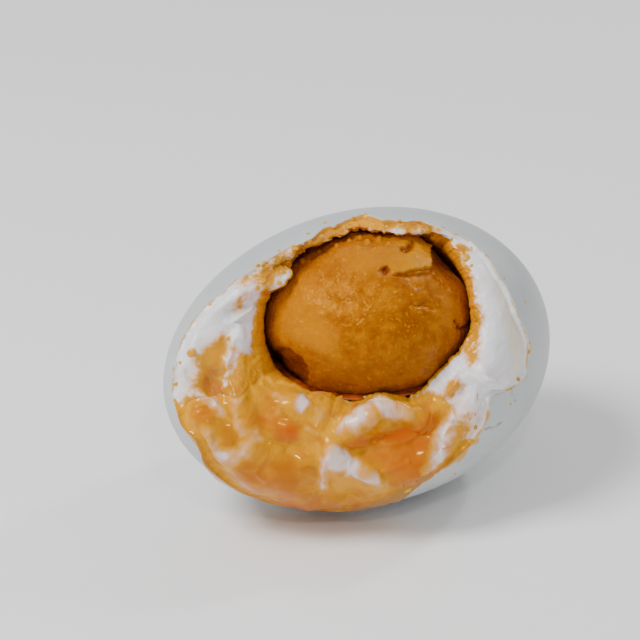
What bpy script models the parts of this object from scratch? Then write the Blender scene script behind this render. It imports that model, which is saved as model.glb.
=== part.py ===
# An opened salted duck egg, lying on its side.
# It is built from four closed solids: the broken shell, the torn white inside it, the yolk
# in the white's hollow, and the runny yolk that has spilled over the white and the shell's lip.
#
# World frame: +X along the egg towards its blunt end, +Z up, origin on the surface that the
# egg rests on, straight below the egg's middle.
# Face frame: where the opening is shaped. u is to the right and v up across the opening,
# and w points straight out of it. Its origin is the egg's middle.

import math

import bpy
import numpy as np
from mathutils import noise

MM = 0.001

# Driving dimensions of the egg
EGG_LENGTH = 64.0 * MM
EGG_WIDTH = 45.6 * MM
BLUNTNESS = 0.05  # share by which the +X half is fuller than the -X half
FLAT_DEPTH = 0.45 * MM  # how far the resting spot is pressed in
SHELL_WALL = 0.45 * MM
CLEARANCE = 0.3 * MM  # gap between touching pieces

# The opening faces this way, seen from the egg's middle
OPENING_TURN = -30.0  # degrees about +Z, from -Y
OPENING_RISE = 27.0  # degrees above level

# Edge of the broken shell: (angle round the opening, angle out from its middle), degrees
SHELL_EDGE = [
    (2, 76), (8, 75), (16, 71), (33, 72), (48, 76), (57, 74), (65, 75), (71, 71), (80, 70),
    (88, 76), (97, 68), (104, 66), (111, 59), (124, 57), (139, 56), (154, 58), (168, 62),
    (175, 64), (182, 62), (190, 64), (202, 62), (206, 60), (214, 65), (226, 72), (238, 80),
    (254, 84), (264, 80), (273, 70), (284, 65), (293, 64), (303, 62), (320, 65), (330, 64.5),
    (334, 64), (339, 62), (342, 59.5), (345, 60), (348, 67), (351, 72), (354, 76),
]

# Rim of the hollow in the white, round the yolk's middle: (angle, radius in mm, depth in mm
# below the egg's full surface)
HOLLOW_RIM = [
    (4, 16.1, 4.3), (18, 16.9, 2.8), (31, 16.6, 2.4), (44, 17.2, 1.5), (55, 16.6, 1.1),
    (59, 14.6, 1.4), (69, 13.4, 1.5), (85, 13.0, 1.3), (96, 13.7, 1.4), (107, 13.1, 1.8),
    (118, 12.8, 2.0), (132, 14.0, 2.2), (145, 14.9, 2.6), (151, 13.1, 4.2), (160, 13.3, 5.0),
    (166, 15.6, 5.8), (176, 16.6, 7.2), (188, 17.2, 8.6), (200, 17.6, 10.2), (210, 18.1, 11.6),
    (216, 16.4, 12.2), (224, 14.9, 12.2), (234, 14.1, 11.6), (245, 12.9, 11.0), (259, 12.9, 10.8),
    (272, 12.0, 10.4), (284, 12.4, 9.8), (294, 13.6, 9.2), (306, 13.9, 8.8), (320, 13.5, 8.2),
    (334, 14.4, 7.2), (346, 15.7, 6.0), (357, 16.8, 4.8),
]

# How fast the torn face drops from the shell's edge to the rim: (angle, power)
FACE_DROP = [(20, 3.2), (70, 2.0), (120, 2.2), (170, 1.5), (215, 1.3), (270, 1.35), (320, 2.0)]

# The yolk, in the face frame
YOLK_MIDDLE = np.array([1.4, 6.6, 2.5]) * MM
YOLK_HALF_SIZES = np.array([16.2, 15.4, 13.3]) * MM  # along world X, Y and Z
YOLK_GAP = 0.75 * MM  # between the yolk's surface and the white round it
WALL_SLOPE = 14  # how fast the hollow's wall closes on the yolk below its rim

# Folds of the torn white: (u, v, half length, half width in mm, turn in degrees, rise in mm)
WHITE_FOLDS = [
    (-25.2, 3.0, 4.0, 1.8, 65, 0.9),
    (-20.5, 9.0, 5.0, 1.8, 45, 0.9),
    (-22.0, -3.5, 4.5, 3.2, 75, -1.8),
    (-17.6, 1.5, 6.0, 1.4, 90, 0.9),
    (-17.5, -6.5, 4.0, 1.6, 105, 1.0),
    (-23.5, -11.0, 3.5, 2.2, 120, 0.9),
    (-16.0, -12.5, 3.2, 2.0, 20, 0.8),
    (-9.6, -6.8, 2.6, 1.6, -20, 1.6),
    (1.5, -8.8, 4.8, 1.6, 35, 2.6),
    (7.4, -8.2, 3.0, 1.2, -25, 1.6),
    (10.5, -10.8, 6.5, 3.4, 18, -2.6),
    (-3.6, -15.6, 3.2, 1.6, 110, 2.0),
    (0.6, -16.9, 3.6, 1.4, -35, 1.6),
    (-11.0, -12.6, 5.0, 1.2, -10, -0.8),
    (17.5, -6.5, 6.0, 1.8, 70, 1.0),
    (20.5, 1.0, 5.0, 3.0, 80, 0.6),
]

# The spilled yolk's outline: (angle, lower end, upper end). Above zero an end is a share of the
# way from the shell's edge to the hollow's rim. Below zero it is degrees out over the shell.
SPILL_ENDS = [
    (184.5, 0.30, 0.30), (187, 0.16, 0.52), (195, 0.10, 0.66), (204, 0.12, 0.60), (211, 0.10, 0.74),
    (221, 0.08, 0.86), (226, 0.0, 0.87), (236, -5.0, 0.84), (244, -8.5, 0.72), (250, -6.0, 0.52),
    (256, -7.5, 0.32), (263, -12.0, 0.20), (268, -8.0, 0.16), (276, -8.5, 0.19), (283, -4.0, 0.34),
    (290, 0.0, 0.62), (298, 0.07, 0.84), (307, 0.09, 0.92), (318, 0.12, 0.93), (326, 0.16, 0.82),
    (332, 0.22, 0.62), (337.5, 0.32, 0.32),
]
SPILL_FILM = 1.0 * MM
SPILL_THINNEST = 0.22 * MM
SPILL_GAP = 0.42 * MM  # under the spill, wide enough for the folds between its rows

# Swellings of the spilled yolk, in the terms of the folds, above the white without its folds
SPILL_SWELLS = [
    (-10.4, -17.0, 7.5, 4.5, -12, 1.6),
    (9.0, -15.8, 6.5, 3.6, 25, 0.7),
    (10.5, -10.8, 6.5, 3.4, 18, -1.3),
    (-20.0, -7.5, 4.0, 3.0, 70, 0.4),
]

# Raised flake, pits, broken spot and hollowed foot of the yolk, in the terms of the folds
YOLK_MARKS = [
    (8.0, 16.6, 4.6, 2.6, -8, 0.55),
    (4.3, 14.2, 1.1, 0.9, 0, -0.9),
    (7.2, 17.0, 1.0, 0.8, 0, -0.8),
    (14.2, 15.4, 3.0, 2.6, 0, -1.8),
    (-9.6, -1.6, 3.0, 1.8, -50, -1.4),
    (-1.0, -4.0, 4.5, 2.0, 0, -0.35),
    (4.0, -7.4, 9.0, 2.4, 6, -0.9),
]

# Mesh fineness
TURNS = 80  # points round each ring of the shell and the white
YOLK_TURNS = 52
SPILL_COLUMNS = 61
SPILL_ROWS = 11
FACE_STEPS = np.linspace(0, 1, 14)  # shell's edge to the hollow's rim
BACK_STEPS = [0, 0.06, 0.13, 0.21, 0.29, 0.37, 0.46, 0.55, 0.66, 0.78, 0.90]  # edge to back


def face_axes():
    """Columns are the face frame's u, v and w in the world."""
    turn, rise = math.radians(OPENING_TURN), math.radians(OPENING_RISE)
    right = np.array([math.cos(turn), math.sin(turn), 0.0])
    out = np.array([
        math.sin(turn) * math.cos(rise),
        -math.cos(turn) * math.cos(rise),
        math.sin(rise),
    ])
    return np.column_stack([right, np.cross(out, right), out])


AXES = face_axes()
EGG_MIDDLE = np.array([0.0, 0.0, EGG_WIDTH / 2 - FLAT_DEPTH])


def to_world(points):
    return points @ AXES.T + EGG_MIDDLE


def round_the_opening(table, angles, column=1):
    """A value from a table whose first column is degrees round the opening."""
    rows = sorted(table)
    return np.interp(np.degrees(angles), [r[0] for r in rows], [r[column] for r in rows], period=360)


def unit(vectors):
    return vectors / np.linalg.norm(vectors, axis=-1, keepdims=True)


def direction(angles, out):
    """Unit vectors in the face frame, at angles round the opening and out from its middle."""
    return np.stack([np.sin(out) * np.cos(angles), np.sin(out) * np.sin(angles), np.cos(out)], axis=-1)


def beyond_egg(points, inset):
    """Above zero outside the egg's surface set in by inset, below zero inside it."""
    x, y, z = np.moveaxis(points @ AXES.T, -1, 0)
    width = (EGG_WIDTH / 2 - inset) * (1 + BLUNTNESS * x / (EGG_LENGTH / 2))
    return (x / (EGG_LENGTH / 2 - inset)) ** 2 + (y**2 + z**2) / width**2 - 1


def where_it_leaves(starts, headings, inset):
    """Points where lines from inside the egg leave its inset surface, by halving."""
    near = np.zeros(len(starts))
    far = np.full(len(starts), EGG_LENGTH)
    for _ in range(40):
        middle = (near + far) / 2
        outside = beyond_egg(starts + headings * middle[:, None], inset) > 0
        far = np.where(outside, middle, far)
        near = np.where(outside, near, middle)
    return starts + headings * near[:, None]


def egg_surface(headings, inset):
    return where_it_leaves(np.zeros_like(headings), headings, inset)


def rested(points, inset):
    """World points with the resting spot pressed flat, its wall kept."""
    world = to_world(points)
    world[:, 2] = np.maximum(world[:, 2], inset)
    return world


def bumps(places, table):
    """Sum of smooth oval bumps at places given by u and v."""
    total = np.zeros(len(places))
    for u, v, length, width, turn, rise in table:
        along, across = oval(places, u, v, length, width, turn)
        total += rise * MM * np.exp(-(along**2) - across**2)
    return total


def oval(places, u, v, length, width, turn):
    """Places in an oval's own terms, where 1 is its edge along or across."""
    angle = math.radians(turn)
    du, dv = places[:, 0] - u * MM, places[:, 1] - v * MM
    along = (du * math.cos(angle) + dv * math.sin(angle)) / (length * MM)
    across = (dv * math.cos(angle) - du * math.sin(angle)) / (width * MM)
    return along, across


def rough(points, grain, height, seed):
    """Smooth noise of about this grain and height."""
    return np.array([noise.noise(p / grain + seed * np.ones(3)) for p in points]) * height


def yolk_reach(headings):
    """Distance from the yolk's middle to its smooth surface."""
    return 1 / np.linalg.norm((headings @ AXES.T) / YOLK_HALF_SIZES, axis=-1)


def rim_of_hollow(angles):
    """Points of the egg's surface in front of the hollow's rim, and the rim's own depth."""
    radius = round_the_opening(HOLLOW_RIM, angles) * MM
    depth = round_the_opening(HOLLOW_RIM, angles, 2) * MM
    starts = np.stack([
        YOLK_MIDDLE[0] + radius * np.cos(angles),
        YOLK_MIDDLE[1] + radius * np.sin(angles),
        np.zeros(len(angles)),
    ], axis=-1)
    straight_out = np.tile([0.0, 0.0, 1.0], (len(angles), 1))
    return where_it_leaves(starts, straight_out, SHELL_WALL + CLEARANCE), depth


def torn_face(angles, share):
    """Points of the torn face without its folds. share is 0 at the shell's edge, 1 at the rim."""
    front, rim_depth = rim_of_hollow(angles)
    edge = direction(angles, np.radians(round_the_opening(SHELL_EDGE, angles)))
    share = share * np.ones(len(angles))
    heading = unit(edge * (1 - share)[:, None] + unit(front) * share[:, None])
    full = egg_surface(heading, SHELL_WALL + CLEARANCE)
    drop = rim_depth * share ** round_the_opening(FACE_DROP, angles)
    return full - drop[:, None] * np.array([0.0, 0.0, 1.0])


def folded_face(angles, share):
    """The same points with the folds and curds, which fade out at the shell's edge."""
    ring = torn_face(angles, share)
    fade = np.minimum(1.0, share / 0.18)
    thin_rim = np.clip(round_the_opening(HOLLOW_RIM, angles, 2) / 3.0, 0.25, 1.0)
    rise = bumps(ring, WHITE_FOLDS) + rough(ring, 3.2 * MM, 0.45 * MM, 3.0)
    ring[:, 2] += rise * fade * thin_rim
    return ring


def hollow_rings(rim):
    """Rings from the rim down round the back of the yolk, always clear of it."""
    arm = rim - YOLK_MIDDLE
    heading = unit(arm)
    around = np.arctan2(heading[:, 1], heading[:, 0])
    out = np.arccos(heading[:, 2])
    slack = np.linalg.norm(arm, axis=1) - yolk_reach(heading)
    rings = []
    for share in (0.1, 0.22, 0.36, 0.52, 0.68, 0.84):
        wrapped = direction(around, out + (math.pi - out) * share)
        gap = YOLK_GAP + np.maximum(slack - YOLK_GAP, 0) * (1 - share) ** WALL_SLOPE
        rings.append(YOLK_MIDDLE + wrapped * (yolk_reach(wrapped) + gap)[:, None])
    return rings


def back_rings(angles, inset, shares):
    """Rings of the egg's surface from the shell's edge round to the back."""
    edge = np.radians(round_the_opening(SHELL_EDGE, angles))
    return [egg_surface(direction(angles, edge + (math.pi - edge) * share), inset) for share in shares]


def pole(heading, inset):
    return egg_surface(np.array([heading]), inset)


def surface_mesh(name, rings, first_pole, last_pole):
    """A closed mesh from world rings of equal length, with a point at each end."""
    count = len(rings[0])
    points = [first_pole[0], *(p for ring in rings for p in ring), last_pole[0]]
    start, end = 0, len(points) - 1
    faces = []
    for i in range(count):
        j = (i + 1) % count
        faces.append((start, 1 + j, 1 + i))
        last = 1 + (len(rings) - 1) * count
        faces.append((end, last + i, last + j))
        for k in range(len(rings) - 1):
            low, high = 1 + k * count, 1 + (k + 1) * count
            faces.append((low + i, low + j, high + j))
            faces.append((low + i, high + j, high + i))
    mesh = bpy.data.meshes.new(name)
    mesh.from_pydata([tuple(p) for p in points], [], faces)
    mesh.shade_smooth()
    return mesh


def make_object(name, mesh, colour, roughness, parent):
    obj = bpy.data.objects.new(name, mesh)
    bpy.context.collection.objects.link(obj)
    obj.parent = parent
    material = bpy.data.materials.new(name + "_finish")
    material.use_nodes = True
    surface = material.node_tree.nodes["Principled BSDF"]
    surface.inputs["Base Color"].default_value = (*colour, 1)
    surface.inputs["Roughness"].default_value = roughness
    obj.data.materials.append(material)
    return obj


def ring_angles(count):
    return np.arange(count) * 2 * math.pi / count


def make_shell(parent):
    angles = ring_angles(TURNS)
    rings = [rested(r, 0.0) for r in reversed(back_rings(angles, 0.0, BACK_STEPS))]
    rings += [rested(r, SHELL_WALL) for r in back_rings(angles, SHELL_WALL, BACK_STEPS)]
    back = [0.0, 0.0, -1.0]
    mesh = surface_mesh("shell", rings, rested(pole(back, 0.0), 0.0), rested(pole(back, SHELL_WALL), SHELL_WALL))
    return make_object("shell", mesh, (0.70, 0.71, 0.70), 0.45, parent)


def make_white(parent):
    angles = ring_angles(TURNS)
    inset = SHELL_WALL + CLEARANCE
    backs = back_rings(angles, inset, BACK_STEPS[:0:-1])
    faces = [folded_face(angles, share) for share in FACE_STEPS]
    rings = [rested(r, inset) for r in backs]
    rings += [to_world(r) for r in faces + hollow_rings(faces[-1])]
    back = np.array([0.0, 0.0, -1.0])
    floor = YOLK_MIDDLE + back * (yolk_reach(back[None]) + YOLK_GAP)
    mesh = surface_mesh("white", rings, rested(pole(back, inset), inset), to_world(floor[None]))
    return make_object("white", mesh, (0.80, 0.78, 0.74), 0.4, parent)


def yolk_ring(angles, out):
    heading = direction(angles, np.full(len(angles), out))
    ring = YOLK_MIDDLE + heading * yolk_reach(heading)[:, None]
    front = max(0.0, math.cos(out)) ** 0.5
    rise = bumps(ring, YOLK_MARKS) * front + rough(ring, 5.0 * MM, 0.3 * MM, 7.0)
    return ring + heading * rise[:, None]


def make_yolk(parent):
    angles = ring_angles(YOLK_TURNS)
    steps = np.linspace(0, math.pi, 24)[1:-1]
    rings = [to_world(yolk_ring(angles, out)) for out in steps]
    first = to_world(yolk_ring(np.zeros(1), 0.0))
    last = to_world(yolk_ring(np.zeros(1), math.pi))
    mesh = surface_mesh("yolk", list(reversed(rings)), last, first)
    return make_object("yolk", mesh, (0.80, 0.30, 0.01), 0.5, parent)


def shell_lip(angles, beyond):
    """Points on the shell, at degrees beyond its edge."""
    edge = round_the_opening(SHELL_EDGE, angles)
    return egg_surface(direction(angles, np.radians(edge + beyond)), 0.0)


def on_grid(grid, angles, shares):
    """Points on the white's face as it is meshed."""
    turn = angles / (2 * math.pi) * TURNS
    row = shares * (len(grid) - 1)
    left, low = np.floor(turn).astype(int), np.minimum(row.astype(int), len(grid) - 2)
    right, high = (left + 1) % TURNS, low + 1
    turn, row = (turn - left)[:, None], (row - low)[:, None]
    lower = grid[low, left % TURNS] * (1 - turn) + grid[low, right] * turn
    upper = grid[high, left % TURNS] * (1 - turn) + grid[high, right] * turn
    return lower * (1 - row) + upper * row


def ground(angles, ends, grid=None):
    """What the spill lies on, from the white's face over the shell's lip."""
    share = np.clip(ends, 0, None)
    white = torn_face(angles, share) if grid is None else on_grid(grid, angles, share)
    lip = shell_lip(angles, np.clip(-ends, 0, None))
    on_white = np.clip(share / 0.09, 0, 1)[:, None]
    return white * on_white + lip * (1 - on_white)


def ground_normals(angles, ends, grid=None):
    """Normals of the ground, from points a short way to each side."""
    turn, step = math.radians(2), np.where(ends > 0, 0.04, 1.0)
    along = ground(angles + turn, ends, grid) - ground(angles - turn, ends, grid)
    across = ground(angles, ends + step, grid) - ground(angles, ends - step, grid)
    return unit(np.cross(along, across))


def spill_column(angle, row_shares, grid):
    """Points under and over the spill, from its lower end to its upper end."""
    low, high = (round_the_opening(SPILL_ENDS, np.array([angle]), c)[0] for c in (1, 2))
    split = 0.36 * min(1.0, max(-low, 0.0) / 4.0)
    over_shell = low * (1 - row_shares / max(split, 0.01))
    over_white = max(low, 0.0) + (high - max(low, 0.0)) * (row_shares - split) / (1 - split)
    ends = np.where(row_shares < split, over_shell, over_white)
    angles = np.full(len(ends), angle)
    floor, level = ground(angles, ends, grid), ground(angles, ends)
    smooth = ground_normals(angles, ends)
    fill = level[:, 2] - floor[:, 2] + bumps(floor, SPILL_SWELLS) + SPILL_FILM - SPILL_GAP
    taper = np.clip(6 * row_shares * (1 - row_shares), 0, 1)
    depth = SPILL_THINNEST + np.clip(fill * smooth[:, 2], SPILL_THINNEST, None) * taper
    under = floor + ground_normals(angles, ends, grid) * SPILL_GAP
    return under, under + smooth * depth[:, None]


def make_spill(parent):
    first, last = (math.radians(SPILL_ENDS[n][0]) for n in (0, -1))
    rows = np.linspace(0, 1, SPILL_ROWS)
    grid = np.array([folded_face(ring_angles(TURNS), share) for share in FACE_STEPS])
    columns = [spill_column(angle, rows, grid) for angle in np.linspace(first, last, SPILL_COLUMNS)]
    loops = [np.concatenate([under, over[::-1]]) for under, over in columns[1:-1]]
    tips = [(under + over).mean(axis=0)[None] / 2 for under, over in (columns[0], columns[-1])]
    mesh = surface_mesh("spilled_yolk", [to_world(r) for r in loops], to_world(tips[0]), to_world(tips[1]))
    return make_object("spilled_yolk", mesh, (0.95, 0.40, 0.01), 0.2, parent)


def main():
    for obj in list(bpy.data.objects):
        bpy.data.objects.remove(obj)
    egg = bpy.data.objects.new("opened_egg", None)
    bpy.context.collection.objects.link(egg)
    make_shell(egg)
    make_white(egg)
    make_yolk(egg)
    make_spill(egg)


main()
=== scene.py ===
import math

import bpy
import numpy as np
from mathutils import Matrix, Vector, noise
from mathutils.bvhtree import BVHTree


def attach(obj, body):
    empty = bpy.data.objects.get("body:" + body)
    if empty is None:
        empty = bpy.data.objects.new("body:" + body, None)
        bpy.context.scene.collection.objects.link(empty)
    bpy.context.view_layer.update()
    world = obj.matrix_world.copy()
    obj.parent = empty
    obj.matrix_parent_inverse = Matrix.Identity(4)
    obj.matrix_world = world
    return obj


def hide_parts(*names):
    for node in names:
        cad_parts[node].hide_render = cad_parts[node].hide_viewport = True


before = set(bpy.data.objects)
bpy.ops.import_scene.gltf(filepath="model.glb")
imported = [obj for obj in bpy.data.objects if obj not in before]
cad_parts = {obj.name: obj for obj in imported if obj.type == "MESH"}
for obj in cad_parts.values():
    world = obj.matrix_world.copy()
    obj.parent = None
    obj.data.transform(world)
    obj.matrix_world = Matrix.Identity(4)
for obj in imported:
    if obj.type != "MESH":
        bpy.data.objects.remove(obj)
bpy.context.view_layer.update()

mm = 0.001
circle = 2 * math.pi

# The egg's own measures, the same as in the solids
egg = {
    "length": 64.0 * mm,
    "width": 45.6 * mm,
    "bluntness": 0.05,
    "flat": 0.45 * mm,  # resting spot
    "wall": 0.45 * mm,
    "gap": 0.3 * mm,
    "openingTurn": -30.0,
    "openingRise": 27.0,
}

# the shell's broken edge: angle round the opening, angle out from its middle
shellEdge = [
    (2, 76), (8, 75), (16, 71), (33, 72), (48, 76), (57, 74), (65, 75), (71, 71), (80, 70),
    (88, 76), (97, 68), (104, 66), (111, 59), (124, 57), (139, 56), (154, 58), (168, 62),
    (175, 64), (182, 62), (190, 64), (202, 62), (206, 60), (214, 65), (226, 72), (238, 80),
    (254, 84), (264, 80), (273, 70), (284, 65), (293, 64), (303, 62), (320, 65), (330, 64.5),
    (334, 64), (339, 62), (342, 59.5), (345, 60), (348, 67), (351, 72), (354, 76),
]

# the hollow's rim round the yolk: angle, radius and depth in mm
hollowRim = [
    (4, 16.1, 4.3), (18, 16.9, 2.8), (31, 16.6, 2.4), (44, 17.2, 1.5), (55, 16.6, 1.1),
    (59, 14.6, 1.4), (69, 13.4, 1.5), (85, 13.0, 1.3), (96, 13.7, 1.4), (107, 13.1, 1.8),
    (118, 12.8, 2.0), (132, 14.0, 2.2), (145, 14.9, 2.6), (151, 13.1, 4.2), (160, 13.3, 5.0),
    (166, 15.6, 5.8), (176, 16.6, 7.2), (188, 17.2, 8.6), (200, 17.6, 10.2), (210, 18.1, 11.6),
    (216, 16.4, 12.2), (224, 14.9, 12.2), (234, 14.1, 11.6), (245, 12.9, 11.0), (259, 12.9, 10.8),
    (272, 12.0, 10.4), (284, 12.4, 9.8), (294, 13.6, 9.2), (306, 13.9, 8.8), (320, 13.5, 8.2),
    (334, 14.4, 7.2), (346, 15.7, 6.0), (357, 16.8, 4.8),
]
# how late the torn face drops to that rim: angle, power
faceDrop = [(20, 3.2), (70, 2.0), (120, 2.2), (170, 1.5), (215, 1.3), (270, 1.35), (320, 2.0)]
# noise that chips the edge, in degrees, and the rim, in mm: grain, seed, height
edgeChips = [(0.11, 4.0, 0.9), (0.04, 5.0, 0.45), (0.014, 6.0, 0.2)]
rimChips = [(0.085, 2.0, 0.38), (0.035, 3.0, 0.16)]


def faceAxes():
    turn, rise = math.radians(egg["openingTurn"]), math.radians(egg["openingRise"])
    right = np.array([math.cos(turn), math.sin(turn), 0.0])
    out = np.array([math.sin(turn) * math.cos(rise), -math.cos(turn) * math.cos(rise), math.sin(rise)])
    return np.column_stack([right, np.cross(out, right), out])


axes = faceAxes()  # u right, v up, w out of the opening
eggMiddle = np.array([0.0, 0.0, egg["width"] / 2 - egg["flat"]])
yolkMiddle = np.array([1.4, 6.6, 2.5]) * mm
yolkHalfSizes = np.array([16.2, 15.4, 13.3]) * mm  # along world X, Y and Z
yolkGap = 0.75 * mm  # from the yolk to the white behind it, as in the solids
sideGap = yolkGap * 0.6  # and to the wall beside it, nearer than in the solids
inset = egg["wall"] + egg["gap"]  # the white's skin under the shell


def toWorld(points):
    return points @ axes.T + eggMiddle


def roundTheOpening(table, angles, column, soft):
    # a column of a table at these angles, averaged over soft degrees to each side
    rows = sorted(table)
    known, values = [r[0] for r in rows], [r[column] for r in rows]
    degrees = np.degrees(angles)
    steps = np.linspace(-1, 1, 9)
    return sum(np.interp(degrees + s * soft, known, values, period=360) for s in steps) / len(steps)


def anglesRound(count):
    return np.arange(count) * circle / count


def rowShares(first, last, count, power):
    return np.linspace(first, last, count) ** power


def unit(vectors):
    return vectors / np.maximum(np.linalg.norm(vectors, axis=-1, keepdims=True), 1e-12)


def heading(angles, out):
    around, out = np.broadcast_arrays(angles, out)
    return np.stack([np.sin(out) * np.cos(around), np.sin(out) * np.sin(around), np.cos(out)], axis=-1)


def beyondEgg(points, depth):
    x, y, z = np.moveaxis(points @ axes.T, -1, 0)
    halfLength = egg["length"] / 2
    width = (egg["width"] / 2 - depth) * (1 + egg["bluntness"] * x / halfLength)
    return (x / (halfLength - depth)) ** 2 + (y**2 + z**2) / width**2 - 1


def whereItLeaves(starts, headings, depth):
    near, far = np.zeros(len(starts)), np.full(len(starts), egg["length"])
    for step in range(34):  # halvings, down to far below a micrometre
        middle = (near + far) / 2
        outside = beyondEgg(starts + headings * middle[:, None], depth) > 0
        far = np.where(outside, middle, far)
        near = np.where(outside, near, middle)
    return starts + headings * near[:, None]


def eggSurface(headings, depth):
    return whereItLeaves(np.zeros_like(headings), headings, depth)


def skinRings(angles, edge, shares, depth):
    # rings on the egg's skin, from the broken edge at share 0 to the back at share 1
    return [eggSurface(heading(angles, edge + (math.pi - edge) * s), depth) for s in shares]


def rested(points, floor):
    world = toWorld(points)
    world[..., 2] = np.maximum(world[..., 2], floor)
    return world


def oval(places, u, v, length, width, turn):
    # how far along and across an oval each place lies, in its half lengths and half widths
    angle = math.radians(turn)
    du, dv = places[..., 0] - u * mm, places[..., 1] - v * mm
    along = (du * math.cos(angle) + dv * math.sin(angle)) / (length * mm)
    across = (dv * math.cos(angle) - du * math.sin(angle)) / (width * mm)
    return along, across


def bumps(places, table):
    # soft mounds: u, v, half length, half width, turn, rise
    total = np.zeros(places.shape[:-1])
    for u, v, length, width, turn, rise in table:
        along, across = oval(places, u, v, length, width, turn)
        total += rise * np.exp(-(along**2) - across**2)
    return total


def ridges(places, table):
    # torn crests: rise, reach, sharpness, then the places u, v that each runs through
    total = np.zeros(places.shape[:-1])
    for rise, reach, sharpness, *path in table:
        nearest = np.full(total.shape, np.inf)
        for start, end in zip(path, path[1:]):
            first, way = np.array(start) * mm, (np.array(end) - start) * mm
            off = places[..., :2] - first
            share = np.clip((off @ way) / (way @ way), 0, 1)
            nearest = np.minimum(nearest, np.linalg.norm(off - share[..., None] * way, axis=-1))
        total += rise * np.clip(1 - nearest / (reach * mm), 0, 1) ** sharpness
    return total


def within(places, corners):
    # how many mm inside an outline a place is, its corners u, v taken clockwise
    least = np.full(places.shape[:-1], np.inf)
    for (u, v), (nextU, nextV) in zip(corners, corners[1:] + corners[:1]):
        across = (places[..., 0] / mm - u) * (nextV - v) - (places[..., 1] / mm - v) * (nextU - u)
        least = np.minimum(least, across / math.hypot(nextU - u, nextV - v))
    return least


def patches(places, table):
    # soft-edged patches: strength, softness, then the corners u, v
    total = np.zeros(places.shape[:-1])
    for strength, soft, *corners in table:
        total = np.maximum(total, strength * smooth(within(places, corners), -soft, soft))
    return total


def coarse(points, grain, height, seed):  # the same noise as in the solids
    flat = points.reshape(-1, 3) / grain + seed
    return np.array([noise.noise(p) for p in flat.tolist()]).reshape(points.shape[:-1]) * height


slopes = unit(np.random.RandomState(11).normal(size=(256, 3)))
primes = (73856093, 19349663, 83492791)  # they mix a cell's x, y and z, to pick its slope


def fine(points, grain, seed):  # quick gradient noise, about -1 to 1
    spot = points / grain + seed * 7.31
    cell = np.floor(spot).astype(np.int64)
    part = spot - cell
    ease = part**3 * (part * (part * 6 - 15) + 10)
    total = np.zeros(points.shape[:-1])
    for corner in np.ndindex(2, 2, 2):
        x, y, z = np.moveaxis((cell + corner) * primes, -1, 0)
        slope = slopes[(x ^ y ^ z) & (len(slopes) - 1)]
        share = np.where(np.array(corner) == 1, ease, 1 - ease).prod(axis=-1)
        total += share * ((part - corner) * slope).sum(axis=-1)
    return total * 1.6


def layered(places, table):
    # fine noise in layers: grain, seed, height
    return sum(fine(places, grain, seed) * height for grain, seed, height in table)


def warped(places, grain, reach, seed):  # places pushed about, so that outlines are uneven
    push = np.stack([fine(places, grain, seed + n) for n in range(3)], axis=-1)
    return places + push * reach


def smooth(value, low, high):
    t = np.clip((value - low) / (high - low), 0, 1)
    return t * t * (3 - 2 * t)


def gridNormals(grid):
    along = np.roll(grid, -1, axis=1) - np.roll(grid, 1, axis=1)
    return unit(np.cross(along, np.gradient(grid, axis=0)))


def ringMesh(name, grid, firstPole, lastPole, values):
    # a skin over rings of points, with a point at each end
    rows, count = grid.shape[:2]
    points = np.concatenate([firstPole[None], grid.reshape(-1, 3), lastPole[None]])
    k, i = np.meshgrid(np.arange(rows - 1), np.arange(count), indexing="ij")
    j = (i + 1) % count
    here, above = 1 + k * count, 1 + (k + 1) * count
    quads = np.stack([here + i, here + j, above + j, above + i], -1).reshape(-1, 4)
    i = np.arange(count)
    j = (i + 1) % count
    last = 1 + (rows - 1) * count
    caps = np.concatenate([
        np.stack([np.zeros(count, int), 1 + j, 1 + i], -1),
        np.stack([np.full(count, len(points) - 1), last + i, last + j], -1),
    ])
    piece = meshPiece(name, points, quads.tolist() + caps.tolist())
    for label, value in values.items():
        inner = value.reshape(-1)
        full = np.concatenate([inner[:1], inner, inner[-1:]]).astype(np.float32)
        piece.data.attributes.new(label, "FLOAT", "POINT").data.foreach_set("value", full)
    return piece


def meshPiece(name, points, faces):
    mesh = bpy.data.meshes.new(name)
    mesh.from_pydata([tuple(p) for p in points], [], faces)
    mesh.shade_smooth()
    piece = bpy.data.objects.new(name, mesh)
    bpy.context.collection.objects.link(piece)
    return piece


def dress(piece, material, slotName, *nodes):
    piece.data.materials.append(material)
    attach(piece, "root")
    if nodes:
        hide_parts(*nodes)
    print("made", piece.name, "with", len(piece.data.polygons), "faces")


def colour(red, green, blue):  # from 0-255 screen values
    def linear(c):
        c /= 255
        return c / 12.92 if c <= 0.04045 else ((c + 0.055) / 1.055) ** 2.4
    return (linear(red), linear(green), linear(blue), 1.0)


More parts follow.
